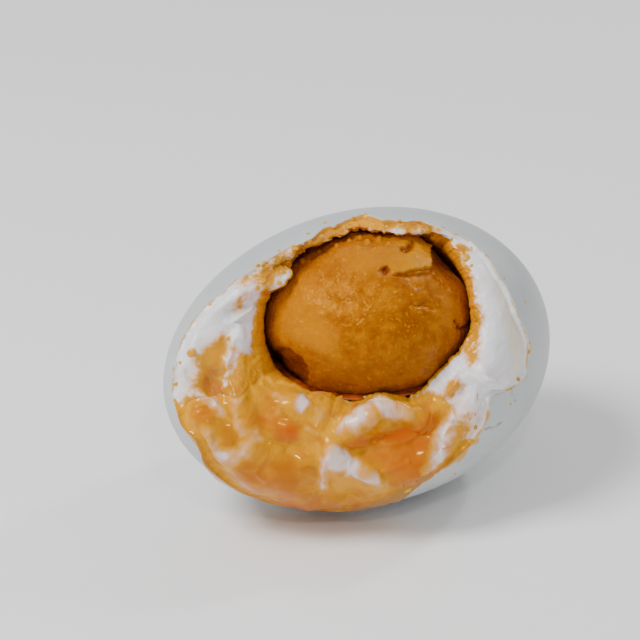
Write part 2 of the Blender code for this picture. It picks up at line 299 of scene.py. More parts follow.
class Finish:
    # one material and short ways to add to it
    def __init__(self, name, **sockets):
        self.material = bpy.data.materials.new(name)
        self.material.use_nodes = True
        self.nodes = self.material.node_tree.nodes
        self.links = self.material.node_tree.links
        self.shader = self.nodes["Principled BSDF"]
        for socket, value in sockets.items():
            self.shader.inputs[socket.replace("_", " ")].default_value = value
        self.place = self.nodes.new("ShaderNodeTexCoord").outputs["Object"]

    def put(self, value, socket):
        # a colour in screen values, or the output of another node
        if isinstance(value, tuple):
            socket.default_value = colour(*value)
        else:
            self.links.new(value, socket)

    def give(self, socket, value):
        self.put(value, self.shader.inputs[socket])

    def maths(self, kind, first, second):
        step = self.nodes.new("ShaderNodeMath")
        step.operation = kind
        self.put(first, step.inputs[0])
        self.put(second, step.inputs[1])
        return step.outputs[0]

    def value(self, name):
        step = self.nodes.new("ShaderNodeAttribute")
        step.attribute_name = name
        return step.outputs["Fac"]

    def grain(self, size, detail=3.0, rough=0.55, warp=0.0):
        step = self.nodes.new("ShaderNodeTexNoise")
        step.inputs["Scale"].default_value = 1 / size
        step.inputs["Detail"].default_value = detail
        step.inputs["Roughness"].default_value = rough
        step.inputs["Distortion"].default_value = warp
        self.links.new(self.place, step.inputs["Vector"])
        return step.outputs["Fac"]

    def span(self, value, low, high, start=0.0, end=1.0):
        step = self.nodes.new("ShaderNodeMapRange")
        step.interpolation_type = "SMOOTHSTEP"
        for index, number in enumerate((low, high, start, end)):
            step.inputs[index + 1].default_value = number
        self.put(value, step.inputs[0])
        return step.outputs[0]

    def ramp(self, value, stops):
        step = self.nodes.new("ShaderNodeValToRGB")
        marks = step.color_ramp.elements
        while len(marks) < len(stops):
            marks.new(0.5)
        for mark, (position, tint) in zip(marks, stops):
            mark.position = position
            mark.color = colour(*tint)
        self.put(value, step.inputs[0])
        return step.outputs["Color"]

    def blend(self, share, first, second):
        step = self.nodes.new("ShaderNodeMix")
        step.data_type = "RGBA"
        self.put(share, step.inputs[0])
        self.put(first, step.inputs[6])
        self.put(second, step.inputs[7])
        return step.outputs[2]

    def bump(self, height, distance, strength=1.0):
        step = self.nodes.new("ShaderNodeBump")
        step.inputs["Distance"].default_value = distance
        step.inputs["Strength"].default_value = strength
        self.links.new(height, step.inputs["Height"])
        last = self.shader.inputs["Normal"]
        if last.is_linked:
            self.links.new(last.links[0].from_socket, step.inputs["Normal"])
        self.links.new(step.outputs["Normal"], last)


# white
white = {
    "turns": 620,
    "faceRows": 112,
    "hollowRows": 28,
    "backRows": (0.94, 0.08, 7, 1.3),  # first and last share of the way to the back, count, power
    "edgeInset": 0.15 * mm,  # the torn face starts inside the shell's broken edge
    "swell": (3.2 * mm, 0.45 * mm, 3.0),  # grain, height, seed
    # blotches in its stains: grain, seed, height
    "spread": [(3.4 * mm, 8.0, 0.5), (1.5 * mm, 9.0, 0.5), (0.6 * mm, 10.0, 0.35)],
    # u, v, half length, half width, turn, rise in mm
    "folds": [
        (-25.2, 3.0, 4.0, 1.8, 65, 0.9), (-20.5, 9.0, 5.0, 1.8, 45, 0.9),
        (-22.0, -3.5, 4.5, 3.2, 75, -1.8), (-17.6, 1.5, 6.0, 1.4, 90, 0.9),
        (-17.5, -6.5, 4.0, 1.6, 105, 1.0), (-23.5, -11.0, 3.5, 2.2, 120, 0.9),
        (-16.0, -12.5, 3.2, 2.0, 20, 0.8), (-9.6, -6.8, 2.6, 1.6, -20, 1.6),
        (1.5, -8.8, 4.8, 1.6, 35, 2.6), (7.4, -8.2, 3.0, 1.2, -25, 1.6),
        (10.5, -10.8, 6.5, 3.4, 18, -2.6), (-3.6, -15.6, 3.2, 1.6, 110, 2.0),
        (0.6, -16.9, 3.6, 1.4, -35, 1.6), (-11.0, -12.6, 5.0, 1.2, -10, -0.8),
        (17.5, -6.5, 6.0, 1.8, 70, 1.0), (20.5, 1.0, 5.0, 3.0, 80, 0.6),
    ],
    # rise and reach in mm, sharpness, then places u, v along the crest
    "crests": [
        (0.9, 1.6, 1.6, (-18.3, 3.3), (-19.9, -0.7), (-19.5, -2.4), (-18.1, -6.0), (-17.9, -9.9)),
        (0.8, 1.1, 1.4, (-27.0, 0.2), (-26.4, -2.4), (-24.7, -5.1), (-22.5, -5.8), (-20.9, -7.8)),
        (0.7, 1.0, 1.3, (-16.3, 7.9), (-19.5, 5.7), (-18.1, 4.7)),
        (-0.35, 0.7, 1.2, (-19.7, 7.3), (-17.0, 8.4)),
        (0.8, 1.6, 1.3, (-22.7, -11.2), (-21.3, -13.6), (-19.1, -15.0), (-16.5, -13.1)),
        (0.9, 1.6, 1.2, (-9.4, -5.8), (-8.3, -6.6), (-7.9, -7.2)),
        (0.6, 1.6, 0.9, (-6.4, -7.8), (-5.8, -8.4)),
        (1.0, 2.2, 1.2, (-3.2, -10.9), (-1.5, -9.6), (0.6, -7.9), (2.6, -6.8), (4.0, -6.2), (6.0, -7.2),
         (7.8, -8.4)),
        (1.0, 1.2, 1.1, (-3.9, -13.5), (-5.3, -18.7)),
        (1.1, 1.6, 1.1, (-3.9, -13.5), (-1.8, -15.4), (3.2, -18.3)),
        (1.1, 1.7, 1.1, (14.9, -8.6), (13.6, -11.2), (12.6, -13.8), (11.0, -17.0)),
        (1.1, 1.0, 0.8, (13.4, -5.0), (15.6, -3.2), (18.1, -2.6), (20.0, -3.6), (21.5, -4.0), (22.0, -3.2)),
        (0.5, 2.6, 0.8, (14.6, -1.8), (20.2, -1.0)),
        (-0.5, 1.1, 1.0, (18.6, -4.8), (19.0, -7.2), (18.4, -9.8)),
        (0.5, 0.8, 1.2, (-14.6, 13.4), (-12.4, 15.1), (-10.6, 16.0), (-8.6, 18.3)),
        (0.4, 0.8, 1.2, (12.2, 18.2), (9.4, 20.4), (6.0, 20.6)),
    ],
    # where the curds are broken up: u, v, half length, half width, turn, share
    "curds": [
        (-15.5, -4.0, 3.4, 4.6, 10, 0.6), (-14.0, -9.0, 6.5, 3.2, -25, 0.6), (-6.0, -9.8, 4.0, 2.2, 0, 0.4),
        (-1.0, 20.3, 9.0, 1.6, 0, 1.5), (-11.6, 15.2, 4.6, 2.2, 40, 1.4), (10.6, 18.6, 4.0, 1.4, -35, 1.0),
        (17.4, 6.0, 2.4, 6.0, 0, 0.5), (15.6, -3.0, 2.6, 3.4, 0, 0.6), (19.6, -6.4, 2.0, 3.4, 0, 0.3),
    ],
    # where yolk has stained it: u, v, half length, half width, turn, strength
    "stains": [
        (-22.4, -3.4, 3.6, 2.3, 70, 1.0), (-21.6, 1.2, 2.4, 1.1, 15, 0.8), (-20.6, 2.6, 1.0, 1.6, -20, 0.6),
        (-16.8, -1.6, 2.0, 2.2, 80, 1.0), (-15.6, -5.6, 3.6, 3.8, 90, 1.0), (-23.8, -8.1, 2.8, 2.4, 0, 1.0),
        (-19.6, -10.4, 3.2, 2.8, 60, 1.0), (-12.5, -8.4, 5.4, 4.0, -20, 1.0), (-18.6, -6.6, 2.4, 2.4, 0, 0.8),
        (-5.6, -10.0, 5.0, 3.4, -10, 1.0), (-3.0, -12.6, 5.0, 1.4, 10, 0.9), (8.0, -11.6, 7.0, 4.4, 18, 1.1),
        (2.0, -20.6, 9.0, 2.2, 6, 0.9), (-14.0, -17.4, 8.0, 4.4, -25, 1.0), (-0.4, -8.8, 5.0, 3.0, 20, 0.9),
        (2.6, 21.0, 6.0, 1.1, 0, 1.0), (-3.4, 19.8, 4.6, 1.2, 20, 0.9), (-7.0, -4.4, 5.0, 0.9, -20, 0.7),
        (-12.9, 13.6, 3.0, 1.3, 40, 0.85), (-8.0, 17.2, 2.6, 1.0, 35, 0.8), (9.0, 20.4, 3.0, 0.9, -10, 0.8),
        (17.8, 7.0, 1.2, 1.8, 0, 0.75), (17.4, 3.4, 1.1, 2.4, 0, 0.8), (17.4, 0.4, 1.0, 1.4, -20, 0.5),
        (16.4, 13.8, 0.9, 3.0, 20, 0.6), (12.8, 17.4, 3.0, 0.8, -50, 0.7), (14.6, -4.4, 1.6, 0.9, 50, 0.6),
        (16.0, 16.6, 0.9, 0.7, 0, 0.7), (-17.6, 8.6, 0.8, 1.6, -30, 0.45), (-17.2, 12.0, 1.4, 0.8, 40, 0.5),
        (-14.8, 4.4, 0.7, 3.4, 0, 0.6), (-14.4, 9.6, 0.8, 2.2, -25, 0.7), (15.2, -12.6, 1.4, 3.2, -30, 0.3),
    ],
    # faint warm tone of the thinner white near the edge
    "warm": [
        (24.2, 2.0, 1.6, 8.0, 5, 0.9), (22.0, 11.0, 1.6, 5.0, 25, 0.7), (-22.0, 0.0, 2.8, 3.6, 0, 0.8),
        (-24.6, -4.6, 1.8, 3.4, 20, 0.9), (19.6, -2.0, 2.0, 2.0, 0, 0.2), (-10.0, 19.0, 6.0, 1.0, 35, 0.6),
    ],
    # where the yolk stain is lightened to a brighter yellow, mostly near the hollow, as painted light against
    # the hollow's shade
    "yellowLitInShade": [
        (-16.4, -2.4, 2.4, 3.4, 0, 1.0), (-13.6, -3.6, 2.6, 2.4, 0, 0.9), (12.6, -5.4, 3.0, 1.4, 40, 0.6),
        (-11.0, -4.4, 3.0, 1.4, -20, 0.6), (17.0, 2.4, 1.2, 4.0, 0, 0.6), (0.0, 21.0, 9.0, 2.0, 0, 0.8),
        (-15.4, 4.0, 1.6, 6.0, 0, 0.9), (-21.6, 1.0, 2.6, 1.4, 15, 0.6), (15.6, 14.0, 1.4, 4.0, 30, 0.7),
    ],
    # how fast the hollow's wall closes on the yolk: angle, power
    "wallSlope": [(5, 26), (25, 15), (60, 15), (80, 24), (150, 26), (175, 26), (225, 30), (245, 26)],
    # and how near it then lies: angle, share of the gap beside the yolk
    "wallGap": [(5, 1.0), (28, 0.25), (60, 0.25), (78, 1.0)],
    # where bare, pinkish white shows through the yolk: patches, then strands
    "bare": [
        (0.95, 0.8, (-3.8, -11.2), (-1.6, -9.4), (0.9, -6.9), (2.4, -7.4), (1.6, -9.6), (-0.8, -10.8)),
        (0.8, 0.7, (1.6, -6.8), (3.6, -5.9), (5.6, -6.7), (7.8, -8.3), (5.0, -8.6), (3.2, -8.3)),
        (1.0, 0.9, (-9.7, -5.6), (-8.0, -5.5), (-7.4, -7.2), (-8.4, -8.1), (-9.7, -7.0)),
        (0.35, 0.7, (-7.4, -7.0), (-5.4, -7.0), (-4.6, -9.0), (-6.0, -9.7), (-7.4, -8.8)),
        (1.0, 0.7, (-4.4, -12.9), (-3.4, -13.2), (0.6, -15.9), (3.6, -18.4), (0.0, -17.9), (-2.4, -16.9),
         (-4.4, -15.9)),
    ],
    "strands": [
        (0.9, 1.3, 0.9, (-4.1, -13.4), (-4.9, -16.2), (-5.4, -18.9)),
        (1.0, 1.9, 0.8, (14.6, -8.8), (13.0, -11.4), (12.2, -13.8), (10.9, -16.9)),
        (0.85, 1.3, 0.9, (-24.6, -5.2), (-22.6, -6.0), (-21.0, -7.9)),
        (0.5, 1.3, 0.9, (-26.8, -0.6), (-26.4, -2.6), (-25.0, -5.4)),
        (0.8, 1.3, 0.9, (-19.7, 2.4), (-19.2, -0.8), (-19.9, -3.0)),
        (0.6, 1.0, 0.9, (-20.6, -3.2), (-18.4, -6.0), (-17.8, -10.9)),
        (0.55, 1.2, 0.9, (-16.4, -10.7), (-15.0, -11.8)),
        (0.6, 1.2, 0.9, (-22.5, -10.9), (-21.6, -13.0), (-20.9, -14.4)),
        (0.65, 1.7, 0.7, (-20.4, -14.4), (-18.8, -14.2), (-16.8, -13.0)),
        (0.5, 1.2, 1.0, (-12.8, -5.4), (-11.2, -6.2)),
        (0.4, 1.0, 1.0, (-13.6, -8.4), (-12.0, -7.8)),
        (0.5, 0.8, 1.0, (-18.6, -3.4), (-17.0, -5.4)),
        (0.45, 0.8, 1.0, (-7.8, -10.4), (-6.2, -11.2)),
    ],
    "colours": {
        "clean": [(0.35, (232, 233, 236)), (0.65, (238, 232, 233))],
        "warm": (228, 214, 186),
        "stain": [(0.0, (238, 226, 226)), (0.2, (236, 200, 178)), (0.36, (222, 164, 84)),
                  (0.48, (206, 146, 4)), (0.6, (198, 135, 0)), (0.82, (192, 122, 0)), (1.0, (188, 108, 0))],
        # a brighter yellow on the stain, painted light where the hollow's shade falls
        "yellowLitInShade": (236, 164, 0),
        # the hollow's wall: yolk stain, darker and redder towards the hollow's bottom as painted shade
        "wall": [(0.0, (236, 160, 10)), (0.4, (232, 134, 4)), (1.0, (206, 90, 0))],
        "blotch": (196, 118, 0),
    },
}


def rimOfHollow(angles, rough):
    soft = 1.6 + 7 * (1 - rough)
    radius = roundTheOpening(hollowRim, angles, 1, soft) * mm
    depth = roundTheOpening(hollowRim, angles, 2, soft) * mm
    ring = heading(angles, math.pi / 2)
    radius = radius + layered(ring, rimChips) * rough**6 * mm
    starts = yolkMiddle * (1, 1, 0) + ring * radius[:, None]
    return whereItLeaves(starts, np.tile([0.0, 0.0, 1.0], (len(angles), 1)), inset), depth


def edgeOut(angles, rough=1.0):
    # the broken edge with its small chips, and a smoother one where rough is under 1
    chips = layered(heading(angles, math.pi / 2), edgeChips)
    sharp, soft = (roundTheOpening(shellEdge, angles, 1, s) for s in (0.8, 9.0))
    return np.radians(soft + (sharp - soft) * rough**2 + chips * rough**6)


def tornFace(angles, share):
    # share 0 is the shell's edge and 1 the hollow's rim, one for all the angles or one each
    share = share * np.ones(len(angles))
    front, rimDepth = rimOfHollow(angles, share)
    edge = heading(angles, edgeOut(angles, 1 - share))
    towards = unit(edge * (1 - share)[:, None] + unit(front) * share[:, None])
    skin = white["edgeInset"] + (inset - white["edgeInset"]) * smooth(share, 0.0, 0.06)
    drop = rimDepth * share ** roundTheOpening(faceDrop, angles, 1, 12)
    return whereItLeaves(np.zeros_like(towards), towards, skin) - drop[:, None] * np.array([0.0, 0.0, 1.0])


def foldedFace(angles, share):
    ring = tornFace(angles, share)
    fade = np.minimum(1.0, share / 0.18)
    thinRim = np.clip(roundTheOpening(hollowRim, angles, 2, 4) / 3.0, 0.25, 1.0)
    rise = bumps(ring, white["folds"]) * mm + coarse(ring, *white["swell"])
    ring[:, 2] += rise * fade * thinRim
    return ring


def curdRelief(places):
    # height in mm of crests and curds over the folded face
    pushed = warped(places, 1.5 * mm, 0.35 * mm, 60.0)
    curdy = np.clip(bumps(pushed, white["curds"]), 0, 1.3)
    lumps = 0.42 - np.abs(fine(places, 1.9 * mm, 1.0)) * 1.3
    small = 0.42 - np.abs(fine(places, 0.85 * mm, 2.0)) * 1.3
    rise = ridges(pushed, white["crests"]) + lumps * (0.09 + 0.5 * curdy) + small * (0.035 + 0.2 * curdy)
    return rise + fine(places, 0.4 * mm, 3.0) * (0.012 + 0.05 * curdy)


def bareWhite(places):
    # share of bare white among the yolk
    pushed = warped(warped(places, 1.7 * mm, 0.5 * mm, 65.0), 0.6 * mm, 0.16 * mm, 68.0)
    bare = np.maximum(patches(pushed, white["bare"]), np.clip(ridges(pushed, white["strands"]), 0, 1))
    return np.clip(bare * (1.0 + fine(places, 1.1 * mm, 13.0) * 0.5), 0, 1)


def yolkReach(headings):
    return 1 / np.linalg.norm((headings @ axes.T) / yolkHalfSizes, axis=-1)


def hollowRows(rim, count):
    arm = rim - yolkMiddle
    towards = unit(arm)
    around, out = np.arctan2(towards[:, 1], towards[:, 0]), np.arccos(towards[:, 2])
    slack = np.linalg.norm(arm, axis=1) - yolkReach(towards)
    slope = roundTheOpening(white["wallSlope"], around, 1, 6.0)
    least = roundTheOpening(white["wallGap"], around, 1, 6.0) * sideGap
    rows = []
    for share in (np.arange(1, count + 1) / (count + 1)) ** 1.7:
        wrapped = heading(around, out + (math.pi - out) * share)
        gap = least + np.maximum(slack - least, 0) * (1 - share) ** slope
        rows.append(yolkMiddle + wrapped * (yolkReach(wrapped) + gap)[:, None])
    return rows


def makeWhite():
    angles = anglesRound(white["turns"])
    edge = edgeOut(angles)
    shares = np.linspace(0, 1, white["faceRows"])
    backs = skinRings(angles, edge, rowShares(*white["backRows"]), inset)
    face = [foldedFace(angles, s) for s in shares]
    hollow = hollowRows(face[-1], white["hollowRows"])
    grid = np.array(backs + face + hollow)
    # -1 on the back, 0 at the shell's edge, 1 at the hollow's rim and 2 at its bottom
    inside = 1 + np.arange(1, len(hollow) + 1) / len(hollow)
    down = np.concatenate([np.full(len(backs), -1.0), shares, inside])[:, None] * np.ones(len(angles))
    inHollow = np.clip(down - 1, 0, 1)
    onFace = smooth(down, 0.0, 0.10) * (1 - smooth(inHollow, 0.1, 0.4))
    relief = curdRelief(grid)
    film = filmHeight(grid)
    shaped = grid + gridNormals(grid) * (relief * onFace * mm)[..., None]

    spread = layered(grid, white["spread"])
    stain = np.clip(bumps(warped(grid, 2.0 * mm, 0.5 * mm, 70.0), white["stains"]), 0, 1.0)
    stain = stain + spread * 0.4 * smooth(stain, 0.05, 0.4)
    shore = smooth(film, -0.4, 0.1) * 0.7
    rim = smooth(down, 0.93, 1.0) * (0.6 + spread * 0.5)
    lip = (1 - smooth(down, 0.0, 0.035)) * smooth(fine(grid, 2.4 * mm, 12.0), -0.1, 0.4) * 0.45
    bare = bareWhite(grid)
    stain = np.maximum.reduce([stain * (1 - bare * 0.85), shore * (1 - bare), rim, lip])
    values = {
        "stain": np.clip(stain, 0, 1) * (down >= 0),
        "warm": np.clip(bumps(grid, white["warm"]) + spread * 0.2, 0, 1) * onFace,
        # where the stain is lightened against the hollow's shade, as painted light
        "yellowLitInShade": np.clip(bumps(grid, white["yellowLitInShade"]) + spread * 0.2, 0, 1),
        "wall": smooth(inHollow, 0.0, 0.05),
        # how far down the hollow's wall, which the finish darkens as painted shade
        "deep": smooth(inHollow, 0.3, 0.8),
    }
    back = np.array([0.0, 0.0, -1.0])
    first = rested(eggSurface(back[None], inset), inset)[0]
    last = toWorld(yolkMiddle + back * (yolkReach(back[None]) + yolkGap))
    return ringMesh("cookedWhite", rested(shaped, 0.0), first, last, values)


def whiteFinish():
    f = Finish("cookedWhiteFinish", Subsurface_Weight=0.3, Subsurface_Scale=0.001,
               Subsurface_Radius=(1.0, 0.7, 0.5), Specular_IOR_Level=0.4, Coat_Weight=0.08,
               Coat_Roughness=0.12, Roughness=0.34)
    tones = white["colours"]
    mottle = f.span(f.grain(0.8 * mm, 5), 0.3, 0.7, -0.12, 0.12)
    stain = f.maths("ADD", f.value("stain"), f.maths("MULTIPLY", mottle, f.span(f.value("stain"), 0.02, 0.3)))
    clean = f.ramp(f.grain(5 * mm, 3), tones["clean"])
    clean = f.blend(f.span(f.value("warm"), 0.0, 1.0, 0.0, 0.8), clean, tones["warm"])
    tint = f.blend(f.span(stain, 0.04, 0.2), clean, f.ramp(stain, tones["stain"]))
    # brighter yellow on the stain near the hollow: painted light against its shade
    tint = f.blend(f.maths("MULTIPLY", f.value("yellowLitInShade"), f.span(stain, 0.3, 0.6)), tint, tones["yellowLitInShade"])
    # the wall's yolk stain, darkened towards the hollow's bottom as painted shade
    wall = f.ramp(f.value("deep"), tones["wall"])
    wall = f.blend(f.span(f.grain(1.6 * mm, 4), 0.35, 0.65, 0.0, 0.45), wall, tones["blotch"])
    f.give("Base Color", f.blend(f.value("wall"), tint, wall))
    f.give("Roughness", f.span(f.value("stain"), 0.2, 0.8, 0.36, 0.22))
    f.bump(f.grain(0.4 * mm, 4, 0.6), 0.04 * mm, 0.5)
    return f.material


# yolk
yolk = {
    "turns": 420,
    "frontRows": 190,
    "backRows": 10,
    "rowEnds": (0.6, 112, 178),  # degrees out from its front: first row, where the back starts, last row
    "swell": (5.0 * mm, 0.3 * mm, 7.0),  # grain, height, seed
    "dents": [(2.6 * mm, 24.0, 0.18), (1.1 * mm, 25.0, 0.1)],  # grain, seed, height
    # u, v, half length, half width, turn, rise in mm
    "marks": [
        (-9.6, -1.6, 3.0, 1.8, -50, -1.0), (-1.0, -4.0, 4.5, 2.0, 0, -0.35),
        (13.6, 15.6, 4.0, 2.2, -45, -1.3), (4.0, -7.4, 9.0, 2.4, 6, -0.7), (-13.6, -0.4, 1.4, 2.6, 25, -0.9),
    ],
    "pits": [
        (4.2, 13.7, 0.9, 0.6, 30, -0.9), (7.3, 16.8, 1.1, 0.5, 20, -0.9), (8.2, 17.6, 0.5, 0.7, 10, -0.6),
    ],
    # strength, softness, then corners u, v
    "flake": [
        (1.0, 0.12, (3.0, 20.4), (11.3, 19.8), (11.1, 13.6), (8.9, 12.8), (6.4, 13.1), (3.4, 12.5),
         (2.0, 15.4)),
    ],
    "flakeFade": (3.4 * mm, 8.6 * mm),  # it starts level with the rest and stands out to the right
    "flakeRise": 0.5,
    "broken": [
        (1.0, 0.3, (-13.6, 0.6), (-12.1, 1.6), (-10.4, 1.3), (-9.0, 0.0), (-8.0, -2.2), (-8.0, -4.2),
         (-11.0, -4.4), (-13.4, -2.4)),
    ],
    "brokenDepth": 0.9,
    # cracks: depth, reach, sharpness, then places u, v
    "cracks": [
        (-0.8, 0.45, 0.8, (14.9, 5.9), (15.6, 4.7), (16.6, 4.9), (17.4, 5.6)),
        (-0.35, 0.5, 0.8, (8.6, 8.2), (10.2, 8.4), (11.6, 7.6)),
        (-0.5, 0.4, 0.8, (-13.2, 0.9), (-12.1, 1.7), (-10.4, 1.4), (-9.0, 0.1), (-8.0, -2.2)),
        (-0.4, 0.4, 0.8, (5.4, 12.9), (8.2, 12.7), (11.3, 13.2), (11.5, 15.6)),
        (-0.25, 0.5, 0.8, (11.8, 12.6), (13.2, 12.0), (15.0, 10.6)),
    ],
    # u, v, radius in mm
    "beads": [
        (0.4, 18.8, 0.4), (1.5, 17.9, 0.6), (3.3, 18.5, 0.5), (0.2, 17.0, 0.35), (-1.3, 18.2, 0.45),
        (2.6, 16.9, 0.3), (4.6, 17.6, 0.4), (-3.2, 17.3, 0.3), (5.6, 18.9, 0.3), (-8.4, 15.0, 0.5),
        (-10.2, 13.6, 0.3), (-6.0, 16.6, 0.35), (5.6, 10.2, 0.3), (-4.4, 9.4, 0.3),
    ],
    # where it is sandy; where it is lighter, partly its own paler tone and partly painted light, mostly on
    # its lit left and top; and where it is darker as painted shade, mostly on its right and lower side, in
    # the dent at its upper right and in its broken hollow: u, v, half length, half width, turn, strength
    "sandy": [(1.0, 9.0, 8.0, 4.0, -10, 1.0), (-6.0, 11.0, 4.0, 4.0, 0, 0.7), (9.0, 8.0, 4.0, 3.0, 0, 0.7)],
    "paleAndLit": [
        (-8.0, 9.0, 4.0, 5.0, 20, 0.6), (-6.0, 3.0, 4.5, 3.0, -30, 0.6), (2.0, 15.0, 7.0, 3.0, 0, 0.7),
        (-12.0, 6.0, 2.0, 4.0, 0, 0.5), (4.0, 9.0, 5.0, 2.0, 10, 0.4), (14.6, 6.4, 2.0, 3.0, 0, 0.5),
    ],
    "darkShade": [
        (2.0, -1.0, 7.0, 3.0, 5, 0.5), (9.0, 3.0, 5.0, 4.0, 30, 0.3), (13.0, 11.6, 2.6, 3.0, 20, 0.6),
        (-11.6, -1.2, 3.0, 1.8, -45, 1.0), (0.0, 5.0, 3.0, 1.2, 20, 0.5), (13.4, 15.6, 2.2, 2.6, 0, 0.8),
    ],
    # the darker tone low on the yolk is partly its oily wetness and partly painted shade under light from
    # above
    "wetShadeBand": (0.5 * mm, 13.0 * mm),  # the dark tone ends between these heights over the egg's middle
    "colours": {
        "mottle": [(0.0, (148, 74, 0)), (0.5, (166, 91, 0)), (1.0, (184, 110, 0))],
        # lighter patches: partly the yolk's own paler tone, partly painted light on its left and top
        "paleAndLit": (192, 118, 0),
        # darker low on the yolk: partly wet with oil, partly painted shade
        "low": ((134, 66, 0), (158, 86, 0)),
        # painted shade on the yolk's right and lower side, in its upper-right dent and its broken hollow
        "darkShade": (136, 60, 0),
        "flake": (198, 128, 0),
        # lighter sandy grains: partly their own colour, partly painted sparkle
        "sandAndSparkle": (200, 130, 0),
        # darker in the pits and cracks, as painted shade
        "pitShade": (126, 50, 0),
    },
}


def makeYolk():
    angles = anglesRound(yolk["turns"])
    first, turn, last = yolk["rowEnds"]
    front = np.linspace(first, turn, yolk["frontRows"])
    back = np.linspace(turn, last, yolk["backRows"] + 1)[1:]
    outs = np.radians(np.concatenate([front, back]))[::-1]
    towards = np.array([heading(angles, np.full(len(angles), out)) for out in outs])
    grid = yolkMiddle + towards * yolkReach(towards)[..., None]
    facing = np.maximum(0.0, towards[..., 2]) ** 0.5
    pushed = warped(grid, 0.9 * mm, 0.3 * mm, 80.0)
    ragged = warped(grid, 0.8 * mm, 0.22 * mm, 85.0)
    flake = patches(ragged, yolk["flake"]) * np.minimum(1, facing * 3)
    flake = flake * (0.1 + 0.9 * smooth(ragged[..., 0], *yolk["flakeFade"]))
    pits = bumps(pushed, yolk["pits"]) * facing
    cracks = ridges(pushed, yolk["cracks"]) * facing
    broken = patches(ragged, yolk["broken"]) * facing
    sunk = bumps(grid, yolk["marks"]) * smooth(towards[..., 2], -0.5, 0.1)
    rise = sunk * (1 - flake) + flake * yolk["flakeRise"] - broken * yolk["brokenDepth"] + pits + cracks
    beads = np.zeros(rise.shape)
    for u, v, radius in yolk["beads"]:
        far = np.hypot(grid[..., 0] / mm - u, grid[..., 1] / mm - v) / radius
        dome = np.clip(1 - far**2, 0, 1) ** 0.7 * np.minimum(1, facing * 2)
        beads = np.maximum(beads, dome * 0.8)
        rise += dome * radius * 0.7
    sandy = 0.4 + 0.6 * np.clip(bumps(grid, yolk["sandy"]) + fine(grid, 2.4 * mm, 26.0) * 0.6, 0, 1)
    # raised sandy grains, which the finish also paints lighter, partly as painted sparkle
    sandAndSparkle = np.clip(fine(grid, 0.46 * mm, 23.0) - 0.22 + flake * 0.1, 0, 0.4) * sandy
    rise += layered(grid, yolk["dents"]) + sandAndSparkle * 0.26
    rise = rise * mm + coarse(grid, *yolk["swell"])
    shaped = grid + towards * rise[..., None]
    height = toWorld(shaped)[..., 2] - eggMiddle[2]
    values = {
        "flake": np.maximum(flake, beads),
        "sandAndSparkle": np.clip(sandAndSparkle * 3, 0, 1),
        # how low on the yolk, for its darker tone: partly wet with oil, partly painted shade
        "low": 1 - smooth(height, *yolk["wetShadeBand"]),
        # pits and cracks, darkened in the finish as painted shade
        "pitShade": np.clip(-pits - cracks * 1.3, 0, 1),
        # lighter patches, partly painted light on the yolk's left and top
        "paleAndLit": np.clip(bumps(pushed, yolk["paleAndLit"]), 0, 1),
        # painted shade, strongest in the broken hollow
        "darkShade": np.clip(bumps(pushed, yolk["darkShade"]) * (0.4 + 0.6 * broken) + broken * 0.4, 0, 1),
    }
    ends = [toWorld(yolkMiddle + np.array([0, 0, s]) * yolkReach(np.array([[0, 0, s]]))) for s in (-1.0, 1.0)]
    return ringMesh("saltedYolk", toWorld(shaped), ends[0].reshape(3), ends[1].reshape(3), values)


def yolkFinish():
    f = Finish("saltedYolkFinish", Subsurface_Weight=0.08, Subsurface_Scale=0.0006,
               Subsurface_Radius=(1.0, 0.4, 0.1), Specular_IOR_Level=0.4, Specular_Tint=(1.0, 0.5, 0.05, 1.0))
    tones = yolk["colours"]
    tint = f.ramp(f.span(f.grain(2.2 * mm, 5, 0.65), 0.32, 0.68), tones["mottle"])
    # lighter patches: partly own tone, partly painted light
    tint = f.blend(f.span(f.value("paleAndLit"), 0.1, 0.8, 0.0, 0.85), tint, tones["paleAndLit"])
    # darker low down: partly wet with oil, partly painted shade
    low = f.blend(f.span(f.grain(3.0 * mm, 3), 0.3, 0.7), *tones["low"])
    tint = f.blend(f.span(f.value("low"), 0.1, 1.0, 0.0, 0.85), tint, low)
    # darker patches as painted shade
    tint = f.blend(f.span(f.value("darkShade"), 0.0, 1.0, 0.0, 0.75), tint, tones["darkShade"])
    tint = f.blend(f.value("flake"), tint, tones["flake"])
    # lighter on the sandy grains: partly their own colour, partly painted sparkle
    tint = f.blend(f.span(f.value("sandAndSparkle"), 0.0, 1.0, 0.0, 0.7), tint, tones["sandAndSparkle"])
    # darker in pits and cracks: painted shade
    tint = f.blend(f.span(f.value("pitShade"), 0.1, 0.6), tint, tones["pitShade"])
    f.give("Base Color", tint)
    f.give("Roughness", f.span(f.grain(0.9 * mm, 3), 0.35, 0.65, 0.2, 0.48))
    f.bump(f.grain(0.35 * mm, 4, 0.7), 0.07 * mm, 0.6)
    return f.material


# shell
shell = {
    "turns": 620,
    # first and last share of the way to the back, count, power
    "outerRows": (0.985, 0, 78, 1.5),
    "innerRows": (0, 0.95, 12, 1.25),
    "wallRows": 4,
    # rise, reach, sharpness, then places u, v
    "cracks": [
        (1.0, 0.22, 1.0, (23.4, -4.4), (23.7, -5.4), (24.2, -6.4)),
        (1.0, 0.25, 1.0, (19.6, -10.6), (20.6, -10.4), (22.2, -9.6)),
    ],
    "crackDepth": 0.12 * mm,
    "spread": [(2.6 * mm, 31.0, 1.6), (1.0 * mm, 32.0, 0.8)],  # grain, seed, degrees
    # how many degrees the thin yolk film reaches over the shell: angle, degrees
    "film": [(196, 0), (204, 2), (212, 3), (220, 9), (228, 19), (240, 14), (250, 10), (258, 10), (266, 14),
             (276, 21), (284, 24), (290, 13), (296, 8), (304, 6), (314, 5), (326, 3), (336, 0.5), (346, 0)],
    "colours": {
        "shell": [(0.3, (184, 188, 190)), (0.7, (194, 196, 197))],
        "raw": (226, 220, 200),
        "film": [(0.3, (196, 142, 0)), (0.7, (222, 156, 4))],
        "specks": (228, 176, 30),
        "crack": (120, 122, 110),
    },
}


